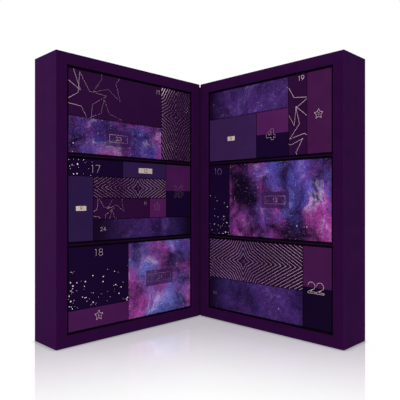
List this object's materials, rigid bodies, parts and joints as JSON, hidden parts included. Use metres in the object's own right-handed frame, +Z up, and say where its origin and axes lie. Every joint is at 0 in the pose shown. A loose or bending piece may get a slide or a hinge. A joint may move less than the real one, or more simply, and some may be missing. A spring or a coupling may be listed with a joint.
{
  "type": "advent calendar",
  "caption": "Standing book-style advent calendar: two framed leaves on a hinge strip, with pull-out numbered gift boxes in tiers behind their borders.",
  "frame": {"origin": "centre of the footprint at the bottom, with the leaves standing open at 90 degrees", "axes": "+Z up; the left leaf lies along X and faces -Y, the right leaf lies along Y and faces -X, so the open side faces -X-Y"},
  "size_m": [0.3982, 0.3982, 0.48],
  "materials": {
    "case_wrap": "matt laminated wrap paper over greyboard, dark purple",
    "black_card": "matt black card",
    "hinge_wrap": "matt wrap paper",
    "magnet": "nickel plated",
    "carton_board": "white folding boxboard",
    "nebula_print": "satin full-colour star field print",
    "maroon_print": "matt plum print",
    "two_tone_print": "matt print, plum over navy",
    "violet_print": "matt blue-violet print",
    "navy_print": "matt navy print with rose gold foil",
    "foil_line_print": "matt dark purple print with rose gold foil lines",
    "foil_star_print": "matt purple print with rose gold foil rings"
  },
  "bodies": {
    "left_leaf": {"left_case_tray": "case_wrap", "left_front_frame": "case_wrap", "left_shelves": "case_wrap", "left_tier_liners": "black_card", "left_magnets": "magnet", "hinge_strip_left": "hinge_wrap"},
    "right_leaf": {"right_case_tray": "case_wrap", "right_front_frame": "case_wrap", "right_shelves": "case_wrap", "right_tier_liners": "black_card", "right_magnets": "magnet", "hinge_strip_right": "hinge_wrap"},
    "box_11": {"carton_11": "carton_board"},
    "front_11": {"lid_11": "foil_line_print"},
    "box_20": {"carton_20": "carton_board"},
    "front_20": {"lid_20": "foil_star_print"},
    "box_23": {"carton_23": "carton_board"},
    "front_23": {"lid_23": "nebula_print"},
    "box_01": {"carton_01": "carton_board"},
    "front_01": {"lid_01": "foil_star_print"},
    "box_03": {"carton_03": "carton_board"},
    "front_03": {"lid_03": "maroon_print"},
    "box_08": {"carton_08": "carton_board"},
    "front_08": {"lid_08": "foil_line_print"},
    "box_09": {"carton_09": "carton_board"},
    "front_09": {"lid_09": "violet_print"},
    "box_12": {"carton_12": "carton_board"},
    "front_12": {"lid_12": "violet_print"},
    "box_16": {"carton_16": "carton_board"},
    "front_16": {"lid_16": "two_tone_print"},
    "box_17": {"carton_17": "carton_board"},
    "front_17": {"lid_17": "navy_print"},
    "box_24": {"carton_24": "carton_board"},
    "front_24": {"lid_24": "nebula_print"},
    "box_06": {"carton_06": "carton_board"},
    "front_06": {"lid_06": "maroon_print"},
    "box_18": {"carton_18": "carton_board"},
    "front_18": {"lid_18": "navy_print"},
    "box_21": {"carton_21": "carton_board"},
    "front_21": {"lid_21": "nebula_print"},
    "box_02": {"carton_02": "carton_board"},
    "front_02": {"lid_02": "maroon_print"},
    "box_04": {"carton_04": "carton_board"},
    "front_04": {"lid_04": "two_tone_print"},
    "box_05": {"carton_05": "carton_board"},
    "front_05": {"lid_05": "violet_print"},
    "box_07": {"carton_07": "carton_board"},
    "front_07": {"lid_07": "nebula_print"},
    "box_19": {"carton_19": "carton_board"},
    "front_19": {"lid_19": "foil_line_print"},
    "box_10": {"carton_10": "carton_board"},
    "front_10": {"lid_10": "navy_print"},
    "box_13": {"carton_13": "carton_board"},
    "front_13": {"lid_13": "nebula_print"},
    "box_14": {"carton_14": "carton_board"},
    "front_14": {"lid_14": "nebula_print"},
    "box_15": {"carton_15": "carton_board"},
    "front_15": {"lid_15": "foil_star_print"},
    "box_22": {"carton_22": "carton_board"},
    "front_22": {"lid_22": "two_tone_print"}
  },
  "joints": [
    {"name": "leaf_hinge", "type": "hinge", "parent": "left_leaf", "child": "right_leaf", "pos_m": [0.1246, 0.1246, 0.24], "axis": [0, 0, 1], "range_deg": [-90, 90]},
    {"name": "slide_11", "type": "slide", "parent": "left_leaf", "child": "box_11", "axis": [0, -1, 0], "range_m": [0, 0.074]},
    {"name": "flap_11", "type": "hinge", "parent": "box_11", "child": "front_11", "pos_m": [-0.07674, 0.1285, 0.45645], "axis": [-1, 0, 0], "range_deg": [0, 90]},
    {"name": "slide_20", "type": "slide", "parent": "left_leaf", "child": "box_20", "axis": [0, -1, 0], "range_m": [0, 0.074]},
    {"name": "flap_20", "type": "hinge", "parent": "box_20", "child": "front_20", "pos_m": [0.02317, 0.1285, 0.3875], "axis": [0, 0, -1], "range_deg": [0, 90]},
    {"name": "slide_23", "type": "slide", "parent": "left_leaf", "child": "box_23", "axis": [0, -1, 0], "range_m": [0, 0.074]},
    {"name": "flap_23", "type": "hinge", "parent": "box_23", "child": "front_23", "pos_m": [-0.07674, 0.1285, 0.37861], "axis": [-1, 0, 0], "range_deg": [0, 90]},
    {"name": "slide_01", "type": "slide", "parent": "left_leaf", "child": "box_01", "axis": [0, -1, 0], "range_m": [0, 0.074]},
    {"name": "flap_01", "type": "hinge", "parent": "box_01", "child": "front_01", "pos_m": [-0.04693, 0.1285, 0.27976], "axis": [-1, 0, 0], "range_deg": [0, 90]},
    {"name": "slide_03", "type": "slide", "parent": "left_leaf", "child": "box_03", "axis": [0, -1, 0], "range_m": [0, 0.074]},
    {"name": "flap_03", "type": "hinge", "parent": "box_03", "child": "front_03", "pos_m": [0.01413, 0.1285, 0.24265], "axis": [-1, 0, 0], "range_deg": [0, 90]},
    {"name": "slide_08", "type": "slide", "parent": "left_leaf", "child": "box_08", "axis": [0, -1, 0], "range_m": [0, 0.074]},
    {"name": "flap_08", "type": "hinge", "parent": "box_08", "child": "front_08", "pos_m": [-0.06756, 0.1285, 0.24265], "axis": [-1, 0, 0], "range_deg": [0, 90]},
    {"name": "slide_09", "type": "slide", "parent": "left_leaf", "child": "box_09", "axis": [0, -1, 0], "range_m": [0, 0.074]},
    {"name": "flap_09", "type": "hinge", "parent": "box_09", "child": "front_09", "pos_m": [-0.17555, 0.1285, 0.2254], "axis": [0, 0, -1], "range_deg": [0, 90]},
    {"name": "slide_12", "type": "slide", "parent": "left_leaf", "child": "box_12", "axis": [0, -1, 0], "range_m": [0, 0.074]},
    {"name": "flap_12", "type": "hinge", "parent": "box_12", "child": "front_12", "pos_m": [-0.01643, 0.1285, 0.30895], "axis": [-1, 0, 0], "range_deg": [0, 90]},
    {"name": "slide_16", "type": "slide", "parent": "left_leaf", "child": "box_16", "axis": [0, -1, 0], "range_m": [0, 0.074]},
    {"name": "flap_16", "type": "hinge", "parent": "box_16", "child": "front_16", "pos_m": [0.03531, 0.1285, 0.25807], "axis": [0, 0, -1], "range_deg": [0, 90]},
    {"name": "slide_17", "type": "slide", "parent": "left_leaf", "child": "box_17", "axis": [0, -1, 0], "range_m": [0, 0.074]},
    {"name": "flap_17", "type": "hinge", "parent": "box_17", "child": "front_17", "pos_m": [-0.12187, 0.1285, 0.30895], "axis": [-1, 0, 0], "range_deg": [0, 90]},
    {"name": "slide_24", "type": "slide", "parent": "left_leaf", "child": "box_24", "axis": [0, -1, 0], "range_m": [0, 0.074]},
    {"name": "flap_24", "type": "hinge", "parent": "box_24", "child": "front_24", "pos_m": [-0.01436, 0.1285, 0.20609], "axis": [-1, 0, 0], "range_deg": [0, 90]},
    {"name": "slide_06", "type": "slide", "parent": "left_leaf", "child": "box_06", "axis": [0, -1, 0], "range_m": [0, 0.074]},
    {"name": "flap_06", "type": "hinge", "parent": "box_06", "child": "front_06", "pos_m": [-0.11579, 0.1285, 0.0572], "axis": [-1, 0, 0], "range_deg": [0, 90]},
    {"name": "slide_18", "type": "slide", "parent": "left_leaf", "child": "box_18", "axis": [0, -1, 0], "range_m": [0, 0.074]},
    {"name": "flap_18", "type": "hinge", "parent": "box_18", "child": "front_18", "pos_m": [-0.11579, 0.1285, 0.16145], "axis": [-1, 0, 0], "range_deg": [0, 90]},
    {"name": "slide_21", "type": "slide", "parent": "left_leaf", "child": "box_21", "axis": [0, -1, 0], "range_m": [0, 0.074]},
    {"name": "flap_21", "type": "hinge", "parent": "box_21", "child": "front_21", "pos_m": [0.02221, 0.1285, 0.16145], "axis": [-1, 0, 0], "range_deg": [0, 90]},
    {"name": "slide_02", "type": "slide", "parent": "right_leaf", "child": "box_02", "axis": [-1, 0, 0], "range_m": [0, 0.074]},
    {"name": "flap_02", "type": "hinge", "parent": "box_02", "child": "front_02", "pos_m": [0.1285, -0.17555, 0.3875], "axis": [0, 0, 1], "range_deg": [0, 90]},
    {"name": "slide_04", "type": "slide", "parent": "right_leaf", "child": "box_04", "axis": [-1, 0, 0], "range_m": [0, 0.074]},
    {"name": "flap_04", "type": "hinge", "parent": "box_04", "child": "front_04", "pos_m": [0.1285, -0.09137, 0.3604], "axis": [0, 0, 1], "range_deg": [0, 90]},
    {"name": "slide_05", "type": "slide", "parent": "right_leaf", "child": "box_05", "axis": [-1, 0, 0], "range_m": [0, 0.074]},
    {"name": "flap_05", "type": "hinge", "parent": "box_05", "child": "front_05", "pos_m": [0.1285, 0.03959, 0.40224], "axis": [0, 1, 0], "range_deg": [0, 90]},
    {"name": "slide_07", "type": "slide", "parent": "right_leaf", "child": "box_07", "axis": [-1, 0, 0], "range_m": [0, 0.074]},
    {"name": "flap_07", "type": "hinge", "parent": "box_07", "child": "front_07", "pos_m": [0.1285, 0.00399, 0.45645], "axis": [0, 1, 0], "range_deg": [0, 90]},
    {"name": "slide_19", "type": "slide", "parent": "right_leaf", "child": "box_19", "axis": [-1, 0, 0], "range_m": [0, 0.074]},
    {"name": "flap_19", "type": "hinge", "parent": "box_19", "child": "front_19", "pos_m": [0.1285, -0.12863, 0.3875], "axis": [0, 0, 1], "range_deg": [0, 90]},
    {"name": "slide_10", "type": "slide", "parent": "right_leaf", "child": "box_10", "axis": [-1, 0, 0], "range_m": [0, 0.074]},
    {"name": "flap_10", "type": "hinge", "parent": "box_10", "child": "front_10", "pos_m": [0.1285, 0.04691, 0.24], "axis": [0, 0, 1], "range_deg": [0, 90]},
    {"name": "slide_13", "type": "slide", "parent": "right_leaf", "child": "box_13", "axis": [-1, 0, 0], "range_m": [0, 0.074]},
    {"name": "flap_13", "type": "hinge", "parent": "box_13", "child": "front_13", "pos_m": [0.1285, -0.06487, 0.30895], "axis": [0, 1, 0], "range_deg": [0, 90]},
    {"name": "slide_14", "type": "slide", "parent": "right_leaf", "child": "box_14", "axis": [-1, 0, 0], "range_m": [0, 0.074]},
    {"name": "flap_14", "type": "hinge", "parent": "box_14", "child": "front_14", "pos_m": [0.1285, -0.01064, 0.08361], "axis": [0, 1, 0], "range_deg": [0, 90]},
    {"name": "slide_15", "type": "slide", "parent": "right_leaf", "child": "box_15", "axis": [-1, 0, 0], "range_m": [0, 0.074]},
    {"name": "flap_15", "type": "hinge", "parent": "box_15", "child": "front_15", "pos_m": [0.1285, -0.01064, 0.16145], "axis": [0, 1, 0], "range_deg": [0, 90]},
    {"name": "slide_22", "type": "slide", "parent": "right_leaf", "child": "box_22", "axis": [-1, 0, 0], "range_m": [0, 0.074]},
    {"name": "flap_22", "type": "hinge", "parent": "box_22", "child": "front_22", "pos_m": [0.1285, -0.17555, 0.0925], "axis": [0, 0, 1], "range_deg": [0, 90]}
  ]
}
